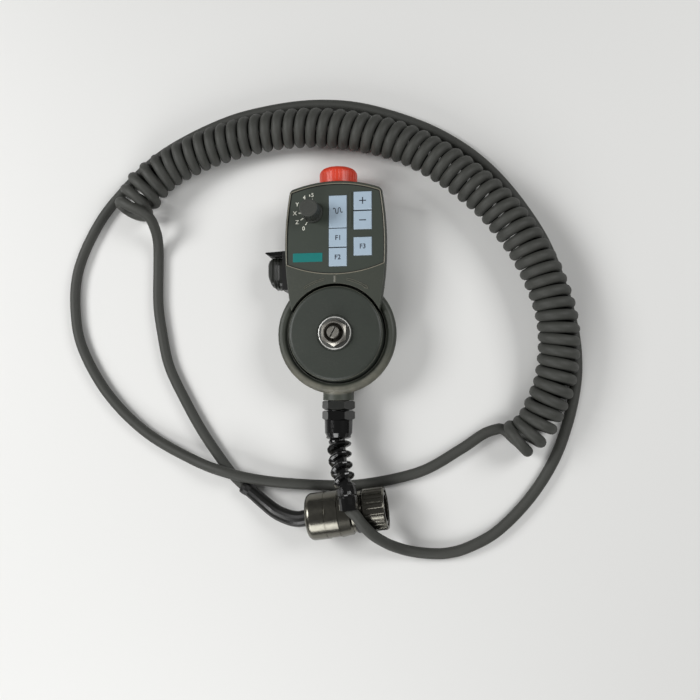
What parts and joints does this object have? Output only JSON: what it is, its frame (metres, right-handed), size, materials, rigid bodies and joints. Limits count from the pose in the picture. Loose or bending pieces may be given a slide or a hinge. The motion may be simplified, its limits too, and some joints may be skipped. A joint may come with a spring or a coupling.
{
  "type": "pulse generator handwheel",
  "caption": "Hand-held pulse generator with a handwheel, axis selector, keys, emergency stop and enabling button, on a curly lead with a round metal connector.",
  "frame": {"origin": "on the handset's back plane, under the axis of the handwheel", "axes": "+Z out of the handset's face along the handwheel's axis, +Y from the handwheel towards the emergency stop, +X to the right of the face"},
  "size_m": [0.4015, 0.3511, 0.05],
  "materials": {
    "housing": "fine-textured charcoal, satin",
    "panel": "fine-textured charcoal foil with off-white legends",
    "key": "pale blue-grey, satin, with dark legends",
    "knob": "charcoal, satin",
    "wheel": "fine-textured charcoal",
    "stop_red": "signal red, satin",
    "black_plastic": "black, semi-gloss",
    "gland_grey": "dark grey, satin",
    "relief": "glossy black elastomer",
    "boot_rubber": "black, semi-gloss",
    "black_rubber": "black, matt",
    "cable": "dark grey jacket, satin",
    "coil": "dark grey jacket, satin",
    "nickel": "bright nickel plate, lightly worn",
    "steel": "turned steel",
    "dark_metal": "dark, oiled",
    "bronze": "sintered bronze",
    "inner_metal": "plain",
    "inner_plastic": "black",
    "circuit_board": "green laminate",
    "dome_film": "clear film over metal domes",
    "gold_contacts": "gold plate"
  },
  "bodies": {
    "handset": {"rear_cover": "housing", "cover_screws": "steel", "shell_seal": "black_rubber", "front_shell": "housing", "keypad_panel": "panel", "dome_sheet": "dome_film", "control_board": "circuit_board", "axis_switch_body": "inner_plastic", "encoder_body": "inner_plastic", "encoder_bearing": "bronze", "encoder_nut": "steel", "stop_barrel": "inner_plastic", "stop_locknut": "inner_plastic", "stop_contact_block": "inner_plastic", "stop_spring": "steel", "enable_frame": "housing", "enable_guard": "black_plastic", "enable_spring": "steel", "enable_switch": "inner_plastic", "gland_body": "black_plastic", "gland_locknut": "gland_grey", "gland_dome_nut": "black_plastic", "gland_seal": "black_rubber", "bend_relief": "relief", "lead_in_gland": "cable", "handset_lead": "cable", "cable_coil": "coil", "connector_lead": "cable", "lead_sleeve": "black_rubber", "connector_backshell": "nickel", "connector_body": "nickel", "connector_seal": "black_rubber", "contact_insert": "black_plastic", "contact_pins": "gold_contacts"},
    "wheel": {"encoder_shaft": "steel", "code_disc": "inner_metal", "handwheel": "wheel", "wheel_collet": "dark_metal", "wheel_washer": "nickel", "wheel_nut": "nickel"},
    "selector": {"axis_switch_shaft": "steel", "axis_knob": "knob", "knob_cap": "knob"},
    "stop_stem": {"stop_plunger": "inner_metal"},
    "stop_head": {"stop_cap": "stop_red"},
    "enable_button": {"enable_boot": "boot_rubber", "enable_plunger": "inner_plastic"},
    "coupling": {"coupling_ring": "nickel"},
    "key_rapid": {"key_rapid": "key"},
    "key_f1": {"key_f1": "key"},
    "key_f2": {"key_f2": "key"},
    "key_f3": {"key_f3": "key"},
    "key_plus": {"key_plus": "key"},
    "key_minus": {"key_minus": "key"}
  },
  "joints": [
    {"name": "wheel_turn", "type": "hinge", "parent": "handset", "child": "wheel", "pos_m": [0, 0, 0.03], "axis": [0, 0, 1], "continuous": true},
    {"name": "selector_turn", "type": "hinge", "parent": "handset", "child": "selector", "pos_m": [-0.0169, 0.0891, 0.04], "axis": [0, 0, -1], "range_deg": [0, 150]},
    {"name": "stop_press", "type": "slide", "parent": "handset", "child": "stop_stem", "axis": [0, -1, 0], "range_m": [0, 0.004], "deforming": ["stop_spring"]},
    {"name": "stop_twist", "type": "hinge", "parent": "stop_stem", "child": "stop_head", "pos_m": [0, 0.12, 0.0188], "axis": [0, -1, 0], "range_deg": [0, 30], "stiffness_Nm_per_rad": 0.05},
    {"name": "enable_press", "type": "slide", "parent": "handset", "child": "enable_button", "axis": [1, 0, 0], "range_m": [0, 0.0025], "stiffness_N_per_m": 800, "deforming": ["enable_spring"]},
    {"name": "coupling_turn", "type": "hinge", "parent": "handset", "child": "coupling", "pos_m": [0.02651, -0.12764, 0.0173], "axis": [0.9903, 0.1392, 0], "continuous": true},
    {"name": "key_rapid_press", "type": "slide", "parent": "handset", "child": "key_rapid", "axis": [0, 0, -1], "range_m": [0, 0.0006], "stiffness_N_per_m": 1500},
    {"name": "key_f1_press", "type": "slide", "parent": "handset", "child": "key_f1", "axis": [0, 0, -1], "range_m": [0, 0.0006], "stiffness_N_per_m": 1500},
    {"name": "key_f2_press", "type": "slide", "parent": "handset", "child": "key_f2", "axis": [0, 0, -1], "range_m": [0, 0.0006], "stiffness_N_per_m": 1500},
    {"name": "key_f3_press", "type": "slide", "parent": "handset", "child": "key_f3", "axis": [0, 0, -1], "range_m": [0, 0.0006], "stiffness_N_per_m": 1500},
    {"name": "key_plus_press", "type": "slide", "parent": "handset", "child": "key_plus", "axis": [0, 0, -1], "range_m": [0, 0.0006], "stiffness_N_per_m": 1500},
    {"name": "key_minus_press", "type": "slide", "parent": "handset", "child": "key_minus", "axis": [0, 0, -1], "range_m": [0, 0.0006], "stiffness_N_per_m": 1500}
  ]
}
